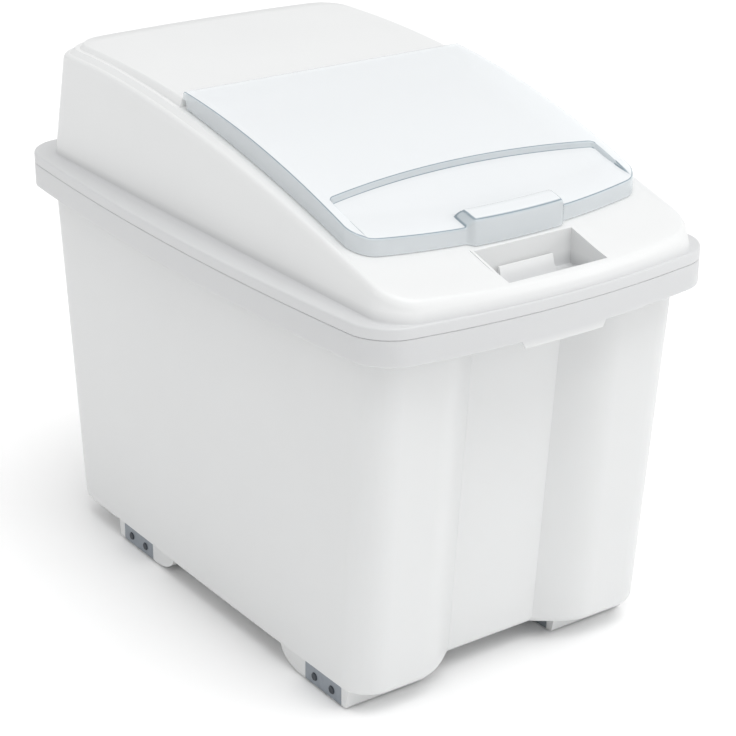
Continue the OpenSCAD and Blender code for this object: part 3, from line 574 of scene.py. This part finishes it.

# Natural polypropylene, injection moulded: milky white. It lets light through without
# showing what is behind it. Where it lies on the tub's rim, its band and the foot of its wall
# are painted a darker grey, as shade. Its flow marks run over about 140 mm, and its grain of
# about 1.4 mm is coarser than the real one.
polypropylene, tree, shader, place = begin("moulded_natural_polypropylene")
result = tree.nodes["Material Output"]
flow = add(tree, "ShaderNodeTexNoise", {"Vector": place.outputs["Object"]}, Scale=7.0, Detail=3.0)
tint = add(tree, "ShaderNodeMix", {"Factor": flow.outputs["Fac"]}, data_type="RGBA")
tint.inputs["A"].default_value, tint.inputs["B"].default_value = srgb("#ECEDED"), srgb("#F0F1F1")
grain = add(tree, "ShaderNodeTexNoise", {"Vector": place.outputs["Object"]},
            Scale=700.0, Detail=2.0)
bump = add(tree, "ShaderNodeBump", {"Height": grain.outputs["Fac"]}, Strength=0.1, Distance=0.0004)
# Painted shade: from 438 down to 428 mm, the colour fades to a darker grey over the band and the
# wall's foot, as in the ledge's crease
height_up = add(tree, "ShaderNodeSeparateXYZ", {"Vector": place.outputs["Object"]})
rim_shade_mask = add(tree, "ShaderNodeMapRange", {"Value": height_up.outputs["Z"]},
             From_Min=0.438, From_Max=0.428)
rim_painted_shade = add(tree, "ShaderNodeMix", {"Factor": rim_shade_mask.outputs["Result"],
                                      "A": tint.outputs["Result"]}, data_type="RGBA")
rim_painted_shade.inputs["B"].default_value = srgb("#DADBDC")
tree.links.new(rim_painted_shade.outputs["Result"], shader.inputs["Base Color"])
tree.links.new(bump.outputs["Normal"], shader.inputs["Normal"])
shader.inputs["Roughness"].default_value = 0.36
shader.inputs["IOR"].default_value = 1.49
through = add(tree, "ShaderNodeBsdfTranslucent", {"Normal": bump.outputs["Normal"]})
through.inputs["Color"].default_value = srgb("#F6F6F5")
blend = add(tree, "ShaderNodeMixShader", Fac=0.12)
tree.links.new(shader.outputs["BSDF"], blend.inputs[1])
tree.links.new(through.outputs["BSDF"], blend.inputs[2])
tree.links.new(blend.outputs["Shader"], result.inputs["Surface"])
dress(hood, polypropylene)

# ------ flip lid
# One clear polycarbonate moulding: an arched panel with skirts, a crease across it with a
# sunken panel in front, and a raised finger grip. It snaps onto the hood's arms by trunnions,
# which aren't drawn. Its rear wall ends at the hinge axis, so that it can turn past the arms.

LID_R, LID_EDGE_R, THIN_EDGE_R = 22.0, 2.3, 0.6  # corner, outer edge, and inside edge radius
HUMP_A, HUMP_RAMP, HUMP_OUT, HUMP_H = 59.0, 9.0, 5, 10  # finger grip: half width, its ends
HUMP_BACK, HUMP_SLOPE = 0.3, 0.11  # shares of the front panel where the grip has come down
CREASE_A, CREASE_Y, CREASE_BOW, CREASE_R = 157.0, 57, 18, 6
SUNK, SUNK_RUN, SUNK_FADE = 5, 3.0, 42  # depth of the front panel, its step, its fade-out
STEP_OVER, STEP_BESIDE = 1.6, 1.5  # how far its step reaches past the crease and its ends
REAR_WALL, REAR_LOW, EAR, EAR_LOW = 2, 1, 9, 10  # behind, below, ahead of and below the axis
EDGE_BAND, EDGE_FLAT, EDGE_STEEP = 3, 0.93, 0.28  # which faces belong to the rounded edge


def share_of(value):
    return max(0.0, min(1.0, value))


def smooth(value):
    value = share_of(value)
    return value * value * (3 - 2 * value)


def hump(x, inset=0.0):
    return smooth((HUMP_A - inset - abs(x)) / HUMP_RAMP)


def bowed_front(x):
    return -LID_FRONT - LID_BOW * (1 - (x / LID_A) ** 2)


def lid_front(x, inset):
    """The lid's front edge: bowed, round at the corners, and pushed out at the grip."""
    r = LID_R - inset
    over = max(0.0, abs(x) - (LID_A - inset - r))
    corner = inset + r - math.sqrt(max(0.0, r * r - over * over))
    return bowed_front(x) + corner - HUMP_OUT * hump(x, inset)


def crease_line(x):
    return -LID_FRONT + CREASE_Y + CREASE_BOW * (1 - (x / LID_A) ** 2)


def skirt_z(y):
    """Lower edge of the skirt, which steps up near the hinge to clear the arms."""
    if y > HINGE_Y + REAR_WALL:
        return HINGE_Z - REAR_LOW
    return HINGE_Z - EAR_LOW if y > HINGE_Y - EAR else slope_z(y) + strip_rise(y)


def lid_columns(inset):
    """Distances from the lid's middle, close together at the edge, grip and crease ends."""
    a, r = LID_A - inset, LID_R - inset
    xs = [0, 10, 20, 30, 40, 48]
    xs += [HUMP_A - HUMP_RAMP + HUMP_RAMP * k / 6 for k in range(7)]
    xs += [66, 74, 84, 94, 104, 114, 124, 132, 138, 142, 144.5]
    turns = [*range(0, 43, 3), 46, 51, 57, 63, 68, 73, 78, 82, 85, 88, 90]
    xs += [a - r + r * math.sin(math.radians(turn)) for turn in turns]
    return [-x for x in reversed(xs[1:])] + xs


# Shares of the way from the front edge to the crease, and from the crease to the rear edge
FRONT_SHARES = [0, 0.008, 0.02, 0.035, 0.055, 0.08, 0.11, 0.15, 0.19, 0.21, 0.225, 0.24, 0.255,
                0.27, 0.285, 0.3, 0.34, 0.4, 0.47, 0.54, 0.61, 0.68, 0.75, 0.81, 0.86, 0.9,
                0.925, 0.945, 0.958, 0.968, 0.976, 0.984, 0.992]
REAR_SHARES = [0, 0.002, 0.005, 0.009, 0.014, 0.02, 0.03, 0.05, 0.08, 0.12, 0.17, 0.22, 0.28,
               0.34, 0.4, 0.46, 0.52, 0.58, 0.64, 0.7, 0.76, 0.82, 0.87, 0.91, 0.94, 0.96, 0.972,
               0.981, 0.988, 0.993, 0.997, 1]


def sunken(x, y, crease):
    """Depth of the front panel: full just ahead of the crease, none at the lid's front."""
    ahead, beside = crease + STEP_OVER - y, CREASE_A + STEP_BESIDE - abs(x)
    if ahead < CREASE_R and beside < CREASE_R:
        near = CREASE_R - math.hypot(CREASE_R - ahead, CREASE_R - beside)
    else:
        near = min(ahead, beside)
    return SUNK * smooth(near / SUNK_RUN) * share_of((y - bowed_front(x)) / SUNK_FADE)


def edge_fall(x, y, front, inset):
    """How far the rounding of the outer edge has fallen at this point."""
    a, r, rear = LID_A - inset, LID_R - inset, LID_REAR - inset
    over, short = abs(x) - (a - r), bowed_front(x) + inset + r - y
    if over > 0 and short > 0:
        inside = r - math.hypot(over, short)
    else:
        inside = min(a - abs(x), y - front, rear - y)
    radius = max(THIN_EDGE_R, LID_EDGE_R - inset)
    inside = max(0.0, min(radius, inside))
    return radius - math.sqrt(max(0.0, radius * radius - (radius - inside) ** 2))


def lid_point(x, row, inset):
    front, crease, rear = lid_front(x, inset), crease_line(x), LID_REAR - inset
    if row < len(FRONT_SHARES):
        share = FRONT_SHARES[row]
        y = front + (crease - front) * share
        raised = HUMP_H * hump(x) * smooth((HUMP_BACK - share) / HUMP_SLOPE)
    else:
        y = crease + (rear - crease) * REAR_SHARES[row - len(FRONT_SHARES)]
        raised = 0
    return (x, y, arch_z(y) - sunken(x, y, crease) + raised - edge_fall(x, y, front, inset) - inset)


mesh = bmesh.new()
rows = len(FRONT_SHARES) + len(REAR_SHARES)
grids = []
for inset in (0.0, LID_T):
    xs = lid_columns(inset)
    grids.append([[mesh.verts.new(Vector(lid_point(x, row, inset)) / 1000) for x in xs]
                  for row in range(rows)])
outer, inner = grids
across = len(outer[0])
for j in range(rows - 1):
    for i in range(across - 1):
        mesh.faces.new((outer[j][i], outer[j][i + 1], outer[j + 1][i + 1], outer[j + 1][i]))
        mesh.faces.new((inner[j][i], inner[j + 1][i], inner[j + 1][i + 1], inner[j][i + 1]))
border = [(0, i) for i in range(across)] + [(j, across - 1) for j in range(1, rows)]
border += [(rows - 1, i) for i in range(across - 2, -1, -1)]
border += [(j, 0) for j in range(rows - 2, 0, -1)]
walls = []
for grid in grids:
    tops = [grid[j][i] for j, i in border]
    lows = [mesh.verts.new((v.co.x, v.co.y, skirt_z(v.co.y * 1000) / 1000)) for v in tops]
    walls.append((tops, lows))
(out_top, out_low), (in_top, in_low) = walls
for k in range(len(border)):
    h = (k + 1) % len(border)
    mesh.faces.new((out_top[k], out_low[k], out_low[h], out_top[h]))
    mesh.faces.new((out_low[k], in_low[k], in_low[h], out_low[h]))
    mesh.faces.new((in_low[k], in_top[k], in_top[h], in_low[h]))
mesh.normal_update()
for face in mesh.faces:
    middle = face.calc_center_median() * 1000
    at_side, at_rear = abs(middle.x) > LID_A - EDGE_BAND, middle.y > LID_REAR - EDGE_BAND
    at_front = middle.y < lid_front(middle.x, 0) + EDGE_BAND
    rounded = EDGE_STEEP < face.normal.z < EDGE_FLAT
    face.material_index = 1 if (at_side or at_rear or at_front) and rounded else 0
lid = set_down(mesh, "flip_lid_moulding")
soften(lid, 40)
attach(lid, "flip_lid_body")
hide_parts("flip_lid")

# Clear polycarbonate, injection moulded, hazed by washing in patches of about 80 mm: its
# faces scatter light and look milky. Its rounded edges and steps are painted blue-grey, as
# shade, by how steeply each face tilts.
polycarbonate, tree, shader, place = begin("moulded_clear_polycarbonate")
result = tree.nodes["Material Output"]
haze = add(tree, "ShaderNodeTexNoise", {"Vector": place.outputs["Object"]}, Scale=12.0, Detail=4.0)
rough = add(tree, "ShaderNodeMapRange", {"Value": haze.outputs["Fac"]}, To_Min=0.1, To_Max=0.17)
facing = add(tree, "ShaderNodeSeparateXYZ", {"Vector": place.outputs["Normal"]})
level_share = add(tree, "ShaderNodeMath", {"Value": facing.outputs["Z"]}, operation="ABSOLUTE")
# Painted shade: darker blue-grey where a face tilts part way, as at the rounded edges and steps,
# and near white where it lies level or stands upright
tint = add(tree, "ShaderNodeValToRGB", {"Fac": level_share.outputs["Value"]})
ramp = tint.color_ramp
ramp.elements[0].position, ramp.elements[0].color = 0.15, srgb("#F2F5F8")
ramp.elements[1].position, ramp.elements[1].color = 0.93, srgb("#F8FAFC")
for stop, code in ((0.6, "#DBE3E8"), (0.74, "#8998A2"), (0.86, "#9AA9B2")):
    ramp.elements.new(stop).color = srgb(code)
tree.links.new(tint.outputs["Color"], shader.inputs["Base Color"])
tree.links.new(rough.outputs["Result"], shader.inputs["Roughness"])
shader.inputs["IOR"].default_value = 1.58
see_through = add(tree, "ShaderNodeMapRange", {"Value": level_share.outputs["Value"]},
                  From_Min=0.2, From_Max=0.9, To_Min=0.5, To_Max=0.27)
clear = add(tree, "ShaderNodeBsdfTransparent")
clear.inputs["Color"].default_value = srgb("#F6F9F9")
blend = add(tree, "ShaderNodeMixShader", {"Fac": see_through.outputs["Result"]})
tree.links.new(shader.outputs["BSDF"], blend.inputs[1])
tree.links.new(clear.outputs["BSDF"], blend.inputs[2])
tree.links.new(blend.outputs["Shader"], result.inputs["Surface"])
dress(lid, polycarbonate)

# The same plastic at the lid's rounded outer edge, where light runs along the sheet and leaves
# as a thin blue-grey line
edge_on = polycarbonate.copy()
edge_on.name = "polycarbonate_seen_edge_on"
ramp = next(node for node in edge_on.node_tree.nodes if node.type == "VALTORGB").color_ramp
for stop in ramp.elements:
    stop.color = srgb("#798994")
lid.data.materials.append(edge_on)

# ------ roller brackets
# Steel channels, pressed and zinc plated to a dull blue-grey, one in each foot. Screws
# through the web hold each to the tub, and its cheeks carry the pins. The CAD's pieces show.


def dress_nodes(starts, finish):
    """Gives a finish to the CAD's own pieces whose names begin in one of these ways."""
    for name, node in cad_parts.items():
        if name.startswith(starts):
            dress(node, finish)


# Zinc plate on pressed steel: dull, cloudy blue-grey, with a bloom about 6 mm wide
plated, tree, shader, place = begin("zinc_plated_pressed_steel")
bloom = add(tree, "ShaderNodeTexNoise", {"Vector": place.outputs["Object"]},
            Scale=160.0, Detail=4.0)
tint = add(tree, "ShaderNodeMix", {"Factor": bloom.outputs["Fac"]}, data_type="RGBA")
tint.inputs["A"].default_value, tint.inputs["B"].default_value = srgb("#8A9097"), srgb("#A3A9B0")
rough = add(tree, "ShaderNodeMapRange", {"Value": bloom.outputs["Fac"]}, To_Min=0.35, To_Max=0.55)
bump = add(tree, "ShaderNodeBump", {"Height": bloom.outputs["Fac"]}, Strength=0.1, Distance=0.0002)
tree.links.new(tint.outputs["Result"], shader.inputs["Base Color"])
tree.links.new(rough.outputs["Result"], shader.inputs["Roughness"])
tree.links.new(bump.outputs["Normal"], shader.inputs["Normal"])
shader.inputs["Metallic"].default_value = 0.8
dress_nodes(("roller_bracket",), plated)

# ------ axle pins and bracket screws
# Plain turned steel. Each pin is headed over outside its bracket's cheeks, and the screws
# run up through the bracket's web into the tub.

# Turned steel, oiled and left bare: darker than the zinc, with marks of about 2.5 mm, drawn
# coarser than the real ones to show
turned, tree, shader, place = begin("turned_steel")
marks = add(tree, "ShaderNodeTexNoise", {"Vector": place.outputs["Object"]},
            Scale=400.0, Detail=2.0)
tint = add(tree, "ShaderNodeMix", {"Factor": marks.outputs["Fac"]}, data_type="RGBA")
tint.inputs["A"].default_value, tint.inputs["B"].default_value = srgb("#3B3F44"), srgb("#54595F")
tree.links.new(tint.outputs["Result"], shader.inputs["Base Color"])
shader.inputs["Roughness"].default_value = 0.4
shader.inputs["Metallic"].default_value = 0.9
dress_nodes(("axle_pin", "bracket_screws"), turned)

# ------ rollers
# Solid nylon, turned from bar and bored for the pin, two in each bracket. They run loose on
# their pins between the bracket's cheeks.

# Turned nylon: off-white and waxy, with lathe marks about 1 mm apart, drawn coarser than the
# real ones to show, and scuffs of about 17 mm
nylon, tree, shader, place = begin("turned_nylon")
lathe = add(tree, "ShaderNodeTexWave", {"Vector": place.outputs["Object"]},
            Scale=300.0, Distortion=0.4)
bump = add(tree, "ShaderNodeBump", {"Height": lathe.outputs["Fac"]}, Strength=0.15, Distance=0.0002)
scuff = add(tree, "ShaderNodeTexNoise", {"Vector": place.outputs["Object"]}, Scale=60.0, Detail=5.0)
tint = add(tree, "ShaderNodeMix", {"Factor": scuff.outputs["Fac"]}, data_type="RGBA")
tint.inputs["A"].default_value, tint.inputs["B"].default_value = srgb("#DAD9D4"), srgb("#EBEAE6")
tree.links.new(tint.outputs["Result"], shader.inputs["Base Color"])
tree.links.new(bump.outputs["Normal"], shader.inputs["Normal"])
shader.inputs["Roughness"].default_value = 0.5
dress_nodes(("roller_front", "roller_rear"), nylon)

# ------ floor, light and camera
# A white paper floor, an even white surround, a broad soft sun from nearly overhead, and a
# large card that lights the bin's front. The camera has the photograph's view.
bpy.ops.mesh.primitive_plane_add(size=30, location=(0, 0, 0))
floor = bpy.context.object
floor.name = "studio_floor"
paper = bpy.data.materials.new("white_paper")
paper.use_nodes = True
paper.node_tree.nodes["Principled BSDF"].inputs["Base Color"].default_value = srgb("#FEFEFE")
paper.node_tree.nodes["Principled BSDF"].inputs["Roughness"].default_value = 0.7
floor.data.materials.append(paper)
floor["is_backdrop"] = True

world = bpy.data.worlds.new("studio")
world.use_nodes = True
world.node_tree.nodes["Background"].inputs["Color"].default_value = (1, 1, 1, 1)
world.node_tree.nodes["Background"].inputs["Strength"].default_value = 0.7
bpy.context.scene.world = world


def hang(name, kind, aim, place=(0, 0, 0)):
    """Hangs a lamp so that its light comes from this direction."""
    lamp = bpy.data.lights.new(name, kind)
    holder = bpy.data.objects.new(name, lamp)
    holder.location = place
    holder.rotation_euler = Vector(aim).to_track_quat("Z", "Y").to_euler()
    bpy.context.scene.collection.objects.link(holder)
    return lamp


softbox = hang("softbox", "SUN", (0.03, -0.28, 0.96))
softbox.energy, softbox.angle = 1.55, math.radians(50)
card = hang("side_card", "AREA", (1.9, -2.1, 0.75), (1.9, -2.1, 1.0))
card.shape, card.size, card.energy = "SQUARE", 1.4, 9

# Camera: its turn, tilt and roll, its place in metres and its lens, matched to the photograph
azimuth, elevation, roll = math.radians(35.589), math.radians(23.134), 0.0068
CAMERA_AT, LENS, SENSOR = (-1.1854, -1.6956, 1.1148), 103.28, 36.0
ahead = Vector((math.sin(azimuth) * math.cos(elevation),
                math.cos(azimuth) * math.cos(elevation), -math.sin(elevation)))
level_right = Vector((math.cos(azimuth), -math.sin(azimuth), 0))
level_up = level_right.cross(ahead)
right = level_right * math.cos(roll) + level_up * math.sin(roll)
up = -level_right * math.sin(roll) + level_up * math.cos(roll)
lens = bpy.data.cameras.new("camera")
lens.lens, lens.sensor_width = LENS, SENSOR
lens.clip_start, lens.clip_end = 0.05, 60
camera = bpy.data.objects.new("camera", lens)
rows = [(right[i], up[i], -ahead[i], CAMERA_AT[i]) for i in range(3)]
camera.matrix_world = Matrix((*rows, (0, 0, 0, 1)))
bpy.context.scene.collection.objects.link(camera)
bpy.context.scene.camera = camera
bpy.context.scene.view_settings.view_transform = "Standard"

low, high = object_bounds()
